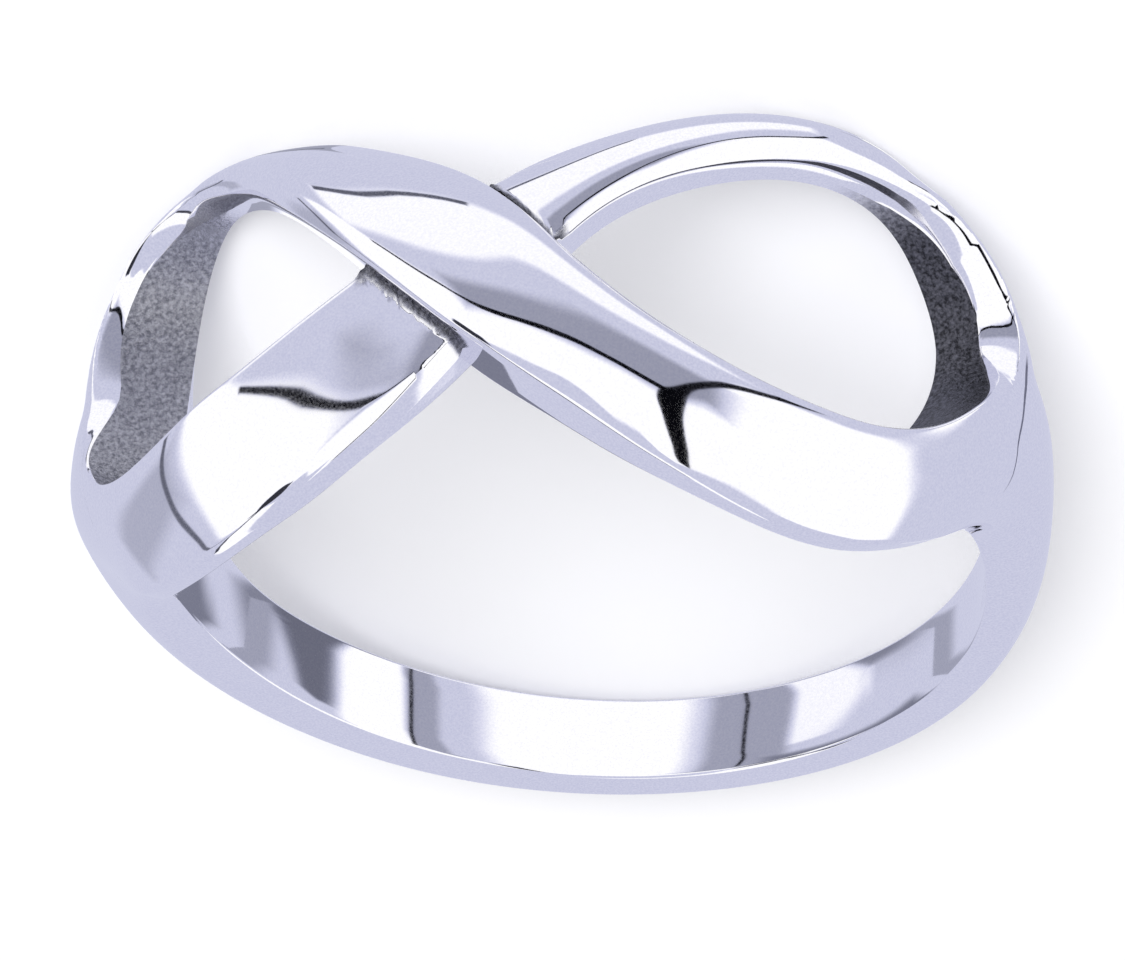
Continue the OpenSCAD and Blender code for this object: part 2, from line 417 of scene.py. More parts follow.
class Metal:
    """Gathers grids of points, in ring coordinates, into one mesh."""

    def __init__(self):
        self.points, self.faces, self.cast, self.count = [], [], [], 0

    def grid(self, angle, a, thick, cast=0.0):
        """Adds one grid. Its rows run along the ring; the last argument marks metal left
        unpolished, and past 1 the painted shade laid on it.
        """
        angle, a, thick, cast = np.broadcast_arrays(angle, a, thick, cast)
        rows, columns = angle.shape
        index = self.count + np.arange(rows * columns).reshape(rows, columns)
        self.points.append(np.stack([angle, a, thick], -1).reshape(-1, 3))
        self.cast.append(cast.reshape(-1))
        corners = [index[:-1, :-1], index[:-1, 1:], index[1:, 1:], index[1:, :-1]]
        self.faces.append(np.stack(corners, -1).reshape(-1, 4))
        self.count += rows * columns


metal = Metal()
left_part = MOTIF[MOTIF <= NEAR_NOTCH + 1e-9]
right_part = MOTIF[MOTIF >= FAR_NOTCH - 1e-9]
in_left, in_right = left_part <= LEFT_TIP + 1e-9, right_part >= RIGHT_TIP - 1e-9
n_left, n_right = len(left_part), len(right_part)

# edge lines, far and near, at each angle
over_edges = over_far(MOTIF), over_near(MOTIF)
left_edges = (np.where(left_part <= LEFT_TIP, under_inner_left(left_part), over_near(left_part)),
              under_near_left(left_part))
right_edges = (far_outline(right_part),
               np.where(right_part >= RIGHT_TIP, under_inner_right(right_part),
                        over_far(right_part)))
# both sides of a split share its middle point, and each tip and notch is one point
left_mid = float(over_near(np.array(LEFT_SPLIT)))
right_mid = float(over_far(np.array(RIGHT_SPLIT)))
left_edges[0][0], right_edges[1][-1] = left_mid, right_mid
left_edges[1][-1] = left_edges[0][-1] = over_edges[1][n_left - 1]
right_edges[0][0] = right_edges[1][0] = over_edges[0][len(MOTIF) - n_right]
left_start = LEFT_SPLIT + 360
over_edges[0][0], left_edges[1][0] = far_outline(left_start), near_outline(left_start)
over_edges[1][-1], right_edges[0][-1] = near_outline(RIGHT_SPLIT), far_outline(RIGHT_SPLIT)

left_opening = np.concatenate([
    np.stack([left_part[in_left], over_edges[1][:n_left][in_left]], -1)[::-1],
    np.stack([left_part[in_left], left_edges[0][in_left]], -1)])
right_opening = np.concatenate([
    np.stack([right_part[in_right], over_edges[0][-n_right:][in_right]], -1),
    np.stack([right_part[in_right], right_edges[1][in_right]], -1)[::-1]])


def edge_drop(angle, a, edges, fades):
    """What the rounding takes off the top, from the distance to each edge of the strip."""
    drop = np.zeros(a.shape)
    for edge, fade in zip(edges, fades):
        slope = np.gradient(edge, np.radians(angle[:, 0]) * EDGE_RADIUS)
        distance = np.abs(a - edge[:, None]) / np.sqrt(1 + slope[:, None] ** 2)
        drop = np.maximum(drop, rounding(distance, TOP_ROUND * fade[:, None]))
    return drop


def opening_drop(angle, a):
    """The same round the ends of the loop openings, where their edge turns across, with the
    flat that is filed along their far side and round their ends."""
    turn = np.where(angle > 180, angle - 360, angle)
    left, right = way_to(left_opening, turn, a), way_to(right_opening, turn, a)
    left_filed = filed_loop(left, turn, FILED_LEFT_LOOP)
    left_filed = left_filed * smoothstep((LEFT_UP_TO - a) / LEFT_FADE)
    right_filed = filed_loop(right, turn, FILED_RIGHT_LOOP)
    right_filed = right_filed * smoothstep((RIGHT_UP_TO - a) / RIGHT_FADE)
    return np.maximum(rounding(left, TOP_ROUND) + left_filed,
                      rounding(right, TOP_ROUND) + right_filed)


def solder(angle, a, edge, low, high, seed):
    """Rough, dull solder left along the foot of the over band, which painted shade darkens: its
    rise there, times one less distance over reach to the power 1.5. Returns the rise and the
    dullness with that painted shade, which is full where that power is over 0.4."""
    distance = np.abs(a - edge[:, None])
    along = smoothstep((angle - low) / SOLDER_RUN) * smoothstep((high - angle) / SOLDER_RUN)
    lumps = noise(np.radians(angle) * SOLDER_RADIUS / LUMP, a / LUMP, seed)
    near_foot = np.clip(1 - distance / (REACH + REACH_LUMP * lumps), 0, 1) ** 1.5
    rise = along * near_foot * (RISE + RISE_LUMP * lumps)
    # the second value, past 1, lays painted shade on the solder's foot
    return rise, along * SOLDER_DULL_AND_SHADE * np.clip(near_foot * 2.5, 0, 1)


# tops
over_a = across(*over_edges)
over_angle = np.broadcast_to(MOTIF[:, None], over_a.shape)
outline_left = smoothstep((MOTIF - LEFT_SPLIT) / SPLIT_RUN)
outline_right = smoothstep((RIGHT_SPLIT - MOTIF) / SPLIT_RUN)
drop = edge_drop(over_angle, over_a, over_edges, [np.where(MOTIF < RIGHT_TIP, 1, outline_right),
                                                  np.where(MOTIF > LEFT_TIP, 1, outline_left)])
drop = np.maximum(drop, opening_drop(over_angle, over_a))
over_t = over_top(over_angle, over_a) + swell(over_angle, over_a) - drop
metal.grid(over_angle, over_a, over_t)


def under_half(part, edges, inner, from_tip, from_split, low, high, seed):
    """One half of the under band's top. inner says which edge is the opening's, from_tip and
    from_split how many degrees each angle is from them, low and high where the solder lies,
    and seed shapes its lumps. Returns the thickness."""
    a = across(*edges)
    angle = np.broadcast_to(part[:, None], a.shape)
    tip_fade = smoothstep(from_tip / TIP_RUN)
    fades = [np.ones(len(part)), np.ones(len(part))]
    fades[inner] = tip_fade * smoothstep(from_split / SPLIT_RUN)
    drop = np.maximum(edge_drop(angle, a, edges, fades),
                      opening_drop(angle, a) * tip_fade[:, None])
    rough, cast = solder(angle, a, edges[inner], low, high, seed)
    thick = under_top(angle, a) + swell(angle, a) - drop + rough
    metal.grid(angle, a, thick, cast)
    return thick


left_t = under_half(left_part, left_edges, 0, LEFT_TIP - left_part, left_part - LEFT_SPLIT,
                    LEFT_TIP - 2, NEAR_NOTCH + 1.5, 3)
right_t = under_half(right_part, right_edges, 1, right_part - RIGHT_TIP,
                     RIGHT_SPLIT - right_part, FAR_NOTCH - 1.5, RIGHT_TIP + 2, 8)

# The shank, in two halves that meet on a line from one split round to the other. The line
# runs down the middle, and swings to each split over the last twelfth of the way.
SWING = 12
shank_far, shank_near = far_outline(SHANK), near_outline(SHANK)
way_round = (SHANK - RIGHT_SPLIT) / (360 + LEFT_SPLIT - RIGHT_SPLIT)
shank_mid = (right_mid * np.clip(1 - way_round * SWING, 0, 1) ** 2
             + left_mid * np.clip(way_round * SWING - (SWING - 1), 0, 1) ** 2)
halves = []
for edges, fades in (((shank_far, shank_mid), (1.0, 0.0)), ((shank_mid, shank_near), (0.0, 1.0))):
    a = across(*edges)
    turn = np.broadcast_to(SHANK[:, None], a.shape)
    drop = edge_drop(turn, a, edges, [np.full(len(SHANK), fade) for fade in fades])
    halves.append(shoulder_top(turn, a) + swell(turn, a)
                  - np.maximum(drop, opening_drop(turn, a)))
    metal.grid(turn, a, halves[-1])

# walls: rows of (inset, height) from the finger hole up; the lowest rows round its edge
FOOT_TURN = np.radians([0, 30, 60, 90])
FOOT_INSET = HOLE_ROUND * (1 - np.sin(FOOT_TURN))
FOOT_RISE = HOLE_ROUND * (1 - np.cos(FOOT_TURN))
UP = np.array([0.3, 0.6, 0.85, 0.96, 1.0])
WALL_ROWS = np.linspace(0, 1, 5)
HOLE_ROWS = np.linspace(0, 1, 4)


def lower_wall(angle, a, top, inwards, cast=0.0):
    """From the finger hole up to top. inwards is which way the rounding leads: 0 for none."""
    inset = np.concatenate([FOOT_INSET, 0 * UP]) * inwards
    rise = np.concatenate([np.broadcast_to(FOOT_RISE, (len(angle), len(FOOT_RISE))),
                           HOLE_ROUND + (top[:, None] - HOLE_ROUND) * UP], 1)
    metal.grid(angle[:, None], a[:, None] + inset, rise, cast)


def upper_wall(angle, a, low, high, cast):
    """Between two heights above the finger hole."""
    rise = low[:, None] * (1 - WALL_ROWS) + high[:, None] * WALL_ROWS
    metal.grid(angle[:, None], a[:, None], rise, cast)


def hole_wall(angle, low, high):
    """The wall of the finger hole, between two edge lines."""
    metal.grid(angle[:, None], low[:, None] * (1 - HOLE_ROWS) + high[:, None] * HOLE_ROWS, 0.0)


# The over band's walls are in two parts, one on the other. They meet on the under band's top
# in the crossing, and elsewhere on a share of the over band's thickness that grows to 1.
first_right = len(MOTIF) - n_right
tip_l, tip_r = int(in_left.sum()) - 1, first_right + int((~in_right).sum())
far_side, near_side = over_t[:, 0], over_t[:, -1]


def share_between(low, high, at_low, at_high):
    """Goes evenly from one share to another between two angles, at each angle of MOTIF."""
    return np.interp(MOTIF, [low, high], [at_low, at_high])


foot_near, foot_far = np.zeros(len(MOTIF)), np.zeros(len(MOTIF))
share = share_between(LEFT_SPLIT, LEFT_TIP, 1, left_t[tip_l, 0] / near_side[tip_l])
foot_near[:tip_l] = (near_side * share)[:tip_l]
foot_near[tip_l:n_left] = left_t[tip_l:n_left, 0]
share = share_between(NEAR_NOTCH, RIGHT_SPLIT, left_t[-1, 0] / near_side[n_left - 1], 1)
foot_near[n_left:] = (near_side * share)[n_left:]
share = share_between(LEFT_SPLIT, FAR_NOTCH, 1, right_t[0, -1] / far_side[first_right])
foot_far[:first_right] = (far_side * share)[:first_right]
foot_far[first_right:tip_r + 1] = right_t[:tip_r - first_right + 1, -1]
share = share_between(RIGHT_TIP, RIGHT_SPLIT,
                      right_t[tip_r - first_right, -1] / far_side[tip_r], 1)
foot_far[tip_r + 1:] = (far_side * share)[tip_r + 1:]


def end_dull_and_shade(angle, split):
    """1 on the end wall of the left loop opening, which no polishing stick reaches, and nearly
    2 in the deeper right one, which is also darkened with painted shade; both fade along the loop."""
    reach, most = (14.0, 1.0) if split < 0 else (16.0, 1.9)
    return most * smoothstep(1.5 - np.abs(angle - split)[:, None] / reach)


upper_wall(MOTIF, over_edges[1], foot_near, near_side, end_dull_and_shade(MOTIF, LEFT_SPLIT))
upper_wall(MOTIF, over_edges[0], foot_far, far_side, end_dull_and_shade(MOTIF, RIGHT_SPLIT))
part = slice(0, tip_l + 1)
lower_wall(MOTIF[part], over_edges[1][part], foot_near[part], 0, end_dull_and_shade(MOTIF[part], LEFT_SPLIT))
lower_wall(left_part[part], left_edges[0][part], left_t[part, 0], 0,
           end_dull_and_shade(left_part[part], LEFT_SPLIT))
part = slice(n_left - 1, None)
lower_wall(MOTIF[part], over_edges[1][part], foot_near[part], -1)
lower_wall(left_part, left_edges[1], left_t[:, -1], -1)
part = slice(0, first_right + 1)
lower_wall(MOTIF[part], over_edges[0][part], foot_far[part], 1)
part = slice(tip_r, None)
lower_wall(MOTIF[part], over_edges[0][part], foot_far[part], 0, end_dull_and_shade(MOTIF[part], RIGHT_SPLIT))
part = slice(tip_r - first_right, None)
lower_wall(right_part[part], right_edges[1][part], right_t[part, -1], 0,
           end_dull_and_shade(right_part[part], RIGHT_SPLIT))
lower_wall(right_part, right_edges[0], right_t[:, 0], 1)
lower_wall(SHANK, shank_far, halves[0][:, 0], 1)
lower_wall(SHANK, shank_near, halves[1][:, -1], -1)

# inside of the finger hole
middle = np.interp(MOTIF, [LEFT_TIP, RIGHT_TIP], [over_edges[1][tip_l], over_edges[0][tip_r]])
far_mid = np.where(MOTIF < LEFT_TIP, over_edges[1], middle)
near_mid = np.where(MOTIF > RIGHT_TIP, over_edges[0], middle)
far_mid[tip_r:] = right_edges[1][tip_r - first_right:]
near_mid[:tip_l + 1] = left_edges[0][:tip_l + 1]
far_line = np.concatenate([over_edges[0][:first_right], right_edges[0]])
near_line = np.concatenate([left_edges[1][:-1], over_edges[1][n_left - 1:]])
hole_wall(MOTIF, far_line + HOLE_ROUND, far_mid)
hole_wall(MOTIF, near_mid, near_line - HOLE_ROUND)
hole_wall(SHANK, shank_far + HOLE_ROUND, shank_mid)
hole_wall(SHANK, shank_mid, shank_near - HOLE_ROUND)

# ---- into Blender -------------------------------------------------------------------------

MM = 0.001  # a millimetre in metres, which Blender counts in
WELD = 2e-7  # metres within which the grids' shared edges are merged
SHARP = np.radians(38)  # edges that bend more than this stay sharp

points = np.concatenate(metal.points)
turn, radius = np.radians(points[:, 0]), BORE + points[:, 2]
place = np.stack([-radius * np.sin(turn), -radius * np.cos(turn), points[:, 1] + REST_RISE], -1)
lean = np.array(Matrix.Rotation(np.radians(REST_SIDE), 3, "Y")
                @ Matrix.Rotation(np.radians(REST_LEAN), 3, "X"))
place = place @ lean.T * MM

mesh = bpy.data.meshes.new("silver_ring")
faces = np.concatenate(metal.faces)
mesh.from_pydata(place.tolist(), [], faces.tolist())
# how unpolished the metal is, and past 1 how much painted shade darkens it, kept by face corner,
# so that it ends sharply at an edge
cast = mesh.attributes.new("unpolished_and_shaded", "FLOAT", "CORNER")
cast.data.foreach_set("value", np.concatenate(metal.cast)[faces.ravel()].astype(np.float32))
weld = bmesh.new()
weld.from_mesh(mesh)
bmesh.ops.remove_doubles(weld, verts=weld.verts, dist=WELD)
bmesh.ops.recalc_face_normals(weld, faces=weld.faces)
weld.to_mesh(mesh)
weld.free()
mesh.shade_smooth()
mesh.set_sharp_from_angle(angle=SHARP)
ring = bpy.data.objects.new("silver_ring", mesh)
bpy.context.scene.collection.objects.link(ring)

# ---- materials ----------------------------------------------------------------------------


def linear(hex_colour):
    """An sRGB hex colour as linear red, green, blue and alpha."""
    c = np.array([int(hex_colour[i:i + 2], 16) for i in (1, 3, 5)]) / 255
    return [*np.where(c <= 0.04045, c / 12.92, ((c + 0.055) / 1.055) ** 2.4), 1.0]


def node(tree, kind, settings=None, inputs=None, links=None):
    """Adds a node: its settings, its inputs' values, and the sockets that feed its inputs."""
    made = tree.nodes.new(kind)
    for name, value in (settings or {}).items():
        setattr(made, name, value)
    for name, value in (inputs or {}).items():
        made.inputs[name].default_value = value
    for name, source in (links or {}).items():
        tree.links.new(source, made.inputs[name])
    return made


def draw_line(curve, places):
    """Takes a Float Curve node's line through places, each (along, value) from 0 to 1."""
    points = curve.mapping.curves[0].points
    points[0].location, points[1].location = places[0], places[-1]
    for place in places[1:-1]:
        points.new(*place)
    curve.mapping.update()


# A Mix node of colours: its setting, its input sockets and its output.
OF_COLOURS = {"data_type": "RGBA"}
SHARE, FIRST, SECOND, MIXED = 0, 6, 7, 2

# Sterling silver, cast, then polished with rouge on a felt wheel. The eye sees a bright, faintly
# cool mirror whose reflections wander a little where the wheel pressed unevenly. In the loop
# openings no wheel fits, so their end walls keep the grey, dull grain of the casting. The deep
# right end wall and the solder's foot are darkened further with painted shade.
silver = bpy.data.materials.new("polished_sterling_silver")
silver.use_nodes = True
tree = silver.node_tree
shader = tree.nodes["Principled BSDF"]
shader.inputs["Metallic"].default_value = 1.0
spot = node(tree, "ShaderNodeTexCoord").outputs["Object"]
unpolished_and_shade = node(tree, "ShaderNodeAttribute", {"attribute_name": "unpolished_and_shaded"}).outputs["Fac"]
cast_share = node(tree, "ShaderNodeClamp", links={"Value": unpolished_and_shade}).outputs[0]
# values of the attribute from 1 to 2 blend in a near-black tone: painted shade on the deep right
# end wall and at the solder's foot
painted_shade = node(tree, "ShaderNodeMapRange", None, {"From Min": 1.0, "From Max": 2.0},
               {"Value": unpolished_and_shade}).outputs[0]

# The scales are in waves to the metre, as Object coordinates are metres. The wheel leaves soft
# waves 1.6 mm apart. Rouge scratches are about 0.002 mm apart, too fine to show, so they are
# drawn at 0.05 mm. The casting's grain is that of fine investment plaster, 0.03 mm, which
# wouldn't show either, so it is drawn at 0.09 mm.
waves = node(tree, "ShaderNodeTexNoise", None, {"Scale": 620.0, "Detail": 1.0}, {"Vector": spot})
haze = node(tree, "ShaderNodeTexNoise", None, {"Scale": 20000.0, "Detail": 2.0}, {"Vector": spot})
grain = node(tree, "ShaderNodeTexNoise", None,
             {"Scale": 11000.0, "Detail": 3.0, "Roughness": 0.65}, {"Vector": spot})
bright = node(tree, "ShaderNodeMapRange", None,
              {"From Min": 0.3, "From Max": 0.7, "To Min": 0.0, "To Max": 1.0},
              {"Value": haze.outputs["Fac"]})
speckle = node(tree, "ShaderNodeMapRange", None, {"From Min": 0.35, "From Max": 0.68},
               {"Value": grain.outputs["Fac"]})

# the polished metal, the dull casting, and the painted shade on the casting, each between two
# tones
polished, dull, dark = (
    node(tree, "ShaderNodeMix", OF_COLOURS, {FIRST: linear(low), SECOND: linear(high)},
         {SHARE: pattern.outputs["Result"]}).outputs[MIXED]
    for low, high, pattern in (("#EDEDF4", "#FBFAFC", bright), ("#7E7F88", "#C2C2CA", speckle),
                               ("#141418", "#62626C", speckle)))
rest = node(tree, "ShaderNodeMix", OF_COLOURS, None, {SHARE: painted_shade, FIRST: dull, SECOND: dark})
cleaned = node(tree, "ShaderNodeMix", OF_COLOURS, None,
               {SHARE: cast_share, FIRST: polished, SECOND: rest.outputs[MIXED]})

# The -X shoulder's join: a dark hairline, 0.07 mm wide, through these (height, y) points in mm.
# It fades over its ends and lies on the ring's outside only.
JOIN = ((2.9, -2.22), (3.63, -2.12), (4.22, -2.07), (4.68, -1.93), (5.08, -1.74), (5.31, -1.44),
        (5.54, -1.1), (5.75, -0.93))
JOIN_LOW, JOIN_TALL = 2.9, 2.85  # heights that the curve's 0 and 1 stand for: the first, the rest
JOIN_AHEAD, JOIN_SPAN = 2.5, 2  # the same for y: how far in front of the axis, how much in all
JOIN_HALF = 0.034  # half the line's width
JOIN_FADE = 0.12  # share of the line that each end fades over
OUTSIDE = -0.0091  # x, in metres, beyond which there is only the ring's outside
parts = node(tree, "ShaderNodeSeparateXYZ", links={0: spot})
along = node(tree, "ShaderNodeMapRange", None,
             {"From Min": JOIN_LOW * MM, "From Max": (JOIN_LOW + JOIN_TALL) * MM},
             {"Value": parts.outputs["Z"]})
course = node(tree, "ShaderNodeFloatCurve", links={"Value": along.outputs["Result"]})
draw_line(course, [((height - JOIN_LOW) / JOIN_TALL, (y + JOIN_AHEAD) / JOIN_SPAN)
                   for height, y in JOIN])
across_join = node(tree, "ShaderNodeMath", {"operation": "MULTIPLY_ADD"},
                   {1: 1 / (JOIN_SPAN * MM), 2: JOIN_AHEAD / JOIN_SPAN}, {0: parts.outputs["Y"]})
gap = node(tree, "ShaderNodeMath", {"operation": "COMPARE"}, {2: JOIN_HALF / JOIN_SPAN},
           {0: across_join.outputs[0], 1: course.outputs["Value"]})
from_end = node(tree, "ShaderNodeMath", {"operation": "PINGPONG"}, {1: 0.5},
                {0: along.outputs["Result"]})
ends = node(tree, "ShaderNodeMapRange", None, {"From Min": 0.0, "From Max": JOIN_FADE},
            {"Value": from_end.outputs[0]})
outside = node(tree, "ShaderNodeMath", {"operation": "LESS_THAN"}, {1: OUTSIDE},
               {0: parts.outputs["X"]})
hairline = gap.outputs[0]
for limit in (ends.outputs["Result"], outside.outputs[0]):
    hairline = node(tree, "ShaderNodeMath", {"operation": "MULTIPLY"}, None,
                    {0: hairline, 1: limit}).outputs[0]
colour = node(tree, "ShaderNodeMix", OF_COLOURS, {SECOND: linear("#7A7A86")},
              {SHARE: hairline, FIRST: cleaned.outputs[MIXED]})
tree.links.new(colour.outputs[MIXED], shader.inputs["Base Color"])

# a polished mirror is a little hazy, and the casting is dull
sheen = node(tree, "ShaderNodeMapRange", None,
             {"From Min": 0.3, "From Max": 0.7, "To Min": 0.035, "To Max": 0.065},
             {"Value": haze.outputs["Fac"]})
rough = node(tree, "ShaderNodeMix", None, {"B": 0.42},
             {"Factor": cast_share, "A": sheen.outputs["Result"]})
tree.links.new(rough.outputs["Result"], shader.inputs["Roughness"])
# the wheel's waves stand 0.003 mm high, and the casting's grain 0.03 mm
wander = node(tree, "ShaderNodeBump", None, {"Strength": 1.0, "Distance": 0.003 * MM},
              {"Height": waves.outputs["Fac"]})
pitted = node(tree, "ShaderNodeBump", None, {"Distance": 0.03 * MM},
              {"Strength": cast_share, "Height": grain.outputs["Fac"],
               "Normal": wander.outputs["Normal"]})
tree.links.new(pitted.outputs["Normal"], shader.inputs["Normal"])
mesh.materials.append(silver)

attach(ring, "root")
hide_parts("ring")

# ---- floor and light ----------------------------------------------------------------------

bpy.ops.mesh.primitive_plane_add(size=2.0)
floor = bpy.context.object
floor.name = "floor"
floor.visible_glossy = False  # the ring mirrors the studio's panels, which go on below it
# Painted white board, sprayed. The eye sees a plain pale ground with hardly any shine.
pale = bpy.data.materials.new("sprayed_white_board")
pale.use_nodes = True
tree = pale.node_tree
board = tree.nodes["Principled BSDF"]
spot = node(tree, "ShaderNodeTexCoord").outputs["Object"]
# the spray's mottle is about 12 mm across
mottle = node(tree, "ShaderNodeTexNoise", None, {"Scale": 80.0, "Detail": 2.0}, {"Vector": spot})
paint = node(tree, "ShaderNodeMix", OF_COLOURS,
             {FIRST: linear("#F5F5F7"), SECOND: linear("#FAFAFB")}, {SHARE: mottle.outputs["Fac"]})
tree.links.new(paint.outputs[MIXED], board.inputs["Base Color"])
board.inputs["Roughness"].default_value = 0.85
floor.data.materials.append(pale)

STUDIO_LIGHT, STUDIO_TONE = 1.12, 0.66  # how bright white is, and the tone between the panels
# The studio's panels and black strips, by where the ring sees them. Bearing is degrees round
# from the front, to the ring's +X side; height is degrees above the level. Each is drawn over
# those before it: its tone, 0 black to 1 white, how softly it ends, which angle its rows run
# along, and rows of (angle along, low, high).
PANELS = {
    "top light": (1.0, 4, "bearing", [
        (-38, 16, 80), (-20, 16, 80), (-8, 16, 66), (6, 20, 62), (21, 17, 56), (28, 11, 42),
        (35, 5.5, 38), (43, 0.5, 38), (50, -4, 38), (58, -10, 38), (66, -20, 38), (75, -24, 38)]),
    "left light": (1.0, 6, "bearing", [
        (-140, 4, 18), (-118, -2, 40), (-97, -8, 50), (-80, -22, 54), (-66, -36, 60),
        (-57, -34, 66), (-48, -12, 72), (-40, 6, 78)]),
    "dusk": (0.48, 10, "bearing", [
        (-45, -8, 6), (-34, -8, 13), (-20, -4, 13), (0, 2, 15), (24, 4, 13)]),
    "lower light": (0.97, 7, "bearing", [
        (-56, -60, -51), (-44, -60, -44), (-28, -60, -34), (0, -58, -27), (16, -56, -23),
        (38, -46, -20), (58, -37, -18)]),
    "right grey": (0.55, 7, "bearing", [(84, -14, -8), (96, -18, -9), (110, -18, -12)]),
    "far light": (1.0, 3, "bearing", [
        (62, 40, 58), (78, 48, 64), (105, 51, 66), (135, 46, 62), (152, 36, 54), (164, 30, 46)]),
    "far strip": (0.1, 1, "bearing", [
        (62, 36, 39), (78, 45, 48), (105, 48, 51), (135, 43, 46), (146, 38, 40)]),
    "low strip": (0.2, 1.5, "bearing", [
        (12, -60, -58), (20, -57, -55), (38, -48, -46), (60, -41, -39)]),
    "right strip": (0.25, 1, "height", [(-24, 84, 85), (0, 84, 85), (20, 84, 85), (36, 85, 86)]),
    "level strip": (0.0, 0.7, "bearing", [
        (-37, 13.5, 16.5), (-8, 13.5, 16.5), (6, 17.5, 20.5), (21, 15, 18), (28, 10.4, 12),
        (35, 4.8, 6.2), (43, 0, 1.3), (50, -4.6, -3.4), (56, -9, -8)]),
    "edge strip": (0.06, 2, "bearing", [(40, 35, 36), (45, 27, 41), (54, 27, 40), (64, 30, 34)]),
    "front strip": (0.0, 0.8, "height", [
        (-46, -65, -63), (-26, -54, -52), (0, -44, -42), (8, -41, -38), (16, -40, -33),
        (42, -39, -31), (60, -42, -33), (74, -48, -38)]),
}
# The painted reflections that the inside of the shank sees on the card, across the finger hole.
# Here height is in tenths of a millimetre above the floor, and goes on below it.
CARD_PANELS = {
    "middle": (1.0, 14, "bearing", [(-38, -160, 90), (28, -160, 90)]),
    "left light": (1.0, 9, "bearing", [(-108, -160, 90), (-80, -160, 90)]),
    "left dusk": (0.5, 5, "bearing", [(-76, -160, 90), (-66, -160, 90)]),
    "right dusk": (0.5, 8, "bearing", [(46, -160, 90), (57, -160, 90)]),
    "right light": (0.95, 9, "bearing", [(84, -160, -32), (104, -160, -38), (122, -160, -46)]),
    "right grey": (0.5, 8, "bearing", [(62, -160, 90), (76, -160, 90)]),
    "right top": (0.4, 14, "bearing", [(78, 8, 90), (100, 4, 90), (124, -4, 90), (150, -14, 90)]),
    "right back": (0.42, 22, "bearing", [(136, -160, -62), (160, -160, -56), (180, -160, -50)]),
    "left back": (0.3, 14, "bearing", [(-180, -160, -62), (-150, -160, -60), (-124, -160, -34)]),
    "left corner": (0.5, 16, "bearing", [(-180, -60, 10), (-166, -56, 0)]),
    "left line": (0.0, 0.6, "height", [
        (-120, -74.4, -73.2), (-60, -75.6, -74.4), (0, -79, -77.6), (30, -81, -79.6)]),
    "right line": (0.0, 0.6, "height", [
        (-120, 58.2, 59.4), (-40, 57, 58.2), (-20, 59, 60.2), (30, 58.6, 59.8)]),
}


def studio_tone(tree, panels, bearing, height):
    """The tone seen at each bearing and height: every panel in turn is mixed over those before
    it, full between its two lines and fading over its softness outside them and past its ends."""
    tone = node(tree, "ShaderNodeValue").outputs[0]
    tone.default_value = STUDIO_TONE
    for shade, soft, runs, rows in panels.values():
        along, side = (bearing, height) if runs == "bearing" else (height, bearing)
        first, last = rows[0][0], rows[-1][0]
        share = node(tree, "ShaderNodeMapRange", None, {"From Min": first, "From Max": last},
                     {"Value": along})
        lines = []
        for column in (1, 2):
            line = node(tree, "ShaderNodeFloatCurve", links={"Value": share.outputs["Result"]})
            # a curve's values go from 0 to 1, which stand for -180 to 180
            draw_line(line, [((row[0] - first) / (last - first), (row[column] + 180) / 360)
                             for row in rows])
            lines.append(node(tree, "ShaderNodeMath", {"operation": "MULTIPLY_ADD"},
                              {1: 360.0, 2: -180.0}, {0: line.outputs["Value"]}).outputs[0])
        # how far outside the panel: past its low line, its high line, its first and last end
        pairs = (({}, {0: lines[0], 1: side}), ({}, {0: side, 1: lines[1]}),
                 ({0: first}, {1: along}), ({1: last}, {0: along}))
        outside = [node(tree, "ShaderNodeMath", {"operation": "SUBTRACT"}, values, sources)
                   for values, sources in pairs]
        most = outside[0]
        for other in outside[1:]:
            most = node(tree, "ShaderNodeMath", {"operation": "MAXIMUM"}, None,
                        {0: most.outputs[0], 1: other.outputs[0]})
        cover = node(tree, "ShaderNodeMapRange", {"interpolation_type": "SMOOTHSTEP"},
                     {"From Min": soft, "From Max": 0.0}, {"Value": most.outputs[0]})
        tone = node(tree, "ShaderNodeMix", None, {"B": shade},
                    {"Factor": cover.outputs["Result"], "A": tone}).outputs["Result"]
    return tone


# Tones as colours: greys lean to lavender, as a white room's shadows do.
BLACK, WHITE = "#08080C", "#FFFFFF"
GREYS = ((0.4, "#777989"), (STUDIO_TONE, "#C6C8DB"), (0.8, "#DBDCEB"))


def tinted(tree, tone):
    """The tone as a colour, from black to white through the greys."""
    tint = node(tree, "ShaderNodeValToRGB", links={"Fac": tone})
    stops = tint.color_ramp.elements
    stops[0].color, stops[-1].color = linear(BLACK), linear(WHITE)
    for place, grey in GREYS:
        stops.new(place).color = linear(grey)
    return tint.outputs["Color"]


def bearing_of(tree, parts):
    """Degrees round from the front, to the +X side, of a direction's parts."""
    ahead = node(tree, "ShaderNodeMath", {"operation": "MULTIPLY"}, {1: -1.0},
                 {0: parts.outputs["Y"]})
    turn_angle = node(tree, "ShaderNodeMath", {"operation": "ARCTAN2"}, None,
                      {0: parts.outputs["X"], 1: ahead.outputs[0]})
    return node(tree, "ShaderNodeMath", {"operation": "DEGREES"},
                links={0: turn_angle.outputs[0]}).outputs[0]


